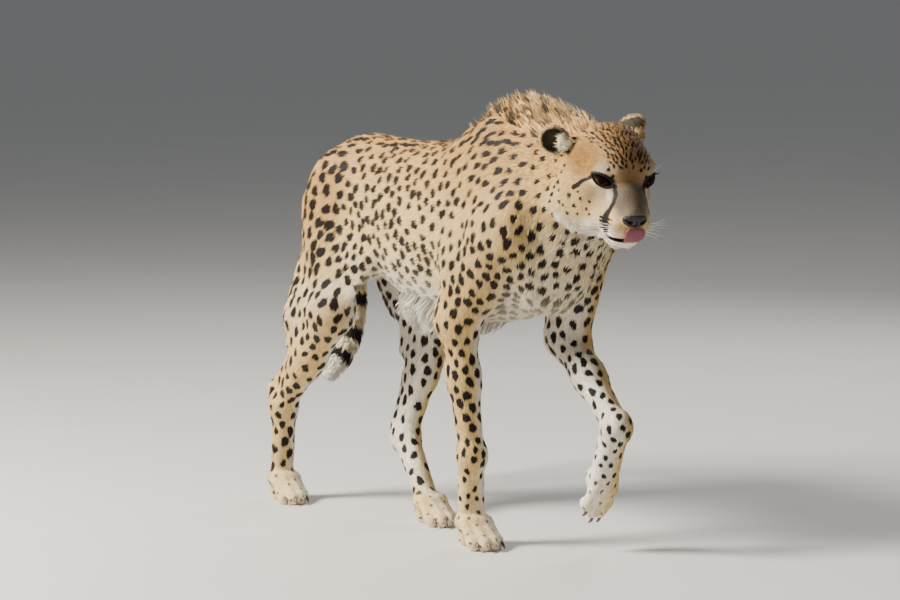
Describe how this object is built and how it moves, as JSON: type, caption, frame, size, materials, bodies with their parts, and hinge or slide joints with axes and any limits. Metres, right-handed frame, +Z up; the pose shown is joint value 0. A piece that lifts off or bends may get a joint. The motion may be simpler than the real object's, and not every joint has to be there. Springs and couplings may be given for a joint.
{
  "type": "cheetah",
  "caption": "Life-size cheetah walking with its left fore paw lifted, head turned slightly, tongue over the upper lip, spotted short coat and pale belly fringe",
  "frame": {"origin": "middle of the bounding box on the floor under the animal", "axes": "+X is the animal's left, +Y runs backwards from head to tail, +Z is up; it faces -Y"},
  "size_m": [0.264, 0.9385, 0.715],
  "materials": {
    "coat": "short spotted fur",
    "eye": "wet, glossy",
    "nose": "damp pebbled leather",
    "tongue": "wet, soft",
    "claw": "worn horn"
  },
  "bodies": {
    "root": {"abdomen": "coat", "chest": "coat", "neck": "coat", "rump": "coat", "head": "coat", "ear_L": "coat", "ear_R": "coat", "forearm_L": "coat", "forearm_R": "coat", "pastern_L": "coat", "pastern_R": "coat", "thigh_L": "coat", "thigh_R": "coat", "shank_L": "coat", "shank_R": "coat", "hock_L": "coat", "hock_R": "coat", "paw_fore_L": "coat", "paw_fore_R": "coat", "paw_hind_L": "coat", "paw_hind_R": "coat", "tail_1": "coat", "tail_2": "coat", "tail_3": "coat", "tail_4": "coat", "eye_L": "eye", "eye_R": "eye", "nose": "nose", "tongue": "tongue", "claw_fore_L_1": "claw", "claw_fore_L_2": "claw", "claw_fore_L_3": "claw", "claw_fore_L_4": "claw", "claw_fore_R_1": "claw", "claw_fore_R_2": "claw", "claw_fore_R_3": "claw", "claw_fore_R_4": "claw", "claw_hind_L_1": "claw", "claw_hind_L_2": "claw", "claw_hind_L_3": "claw", "claw_hind_L_4": "claw", "claw_hind_R_1": "claw", "claw_hind_R_2": "claw", "claw_hind_R_3": "claw", "claw_hind_R_4": "claw"}
  },
  "joints": []
}
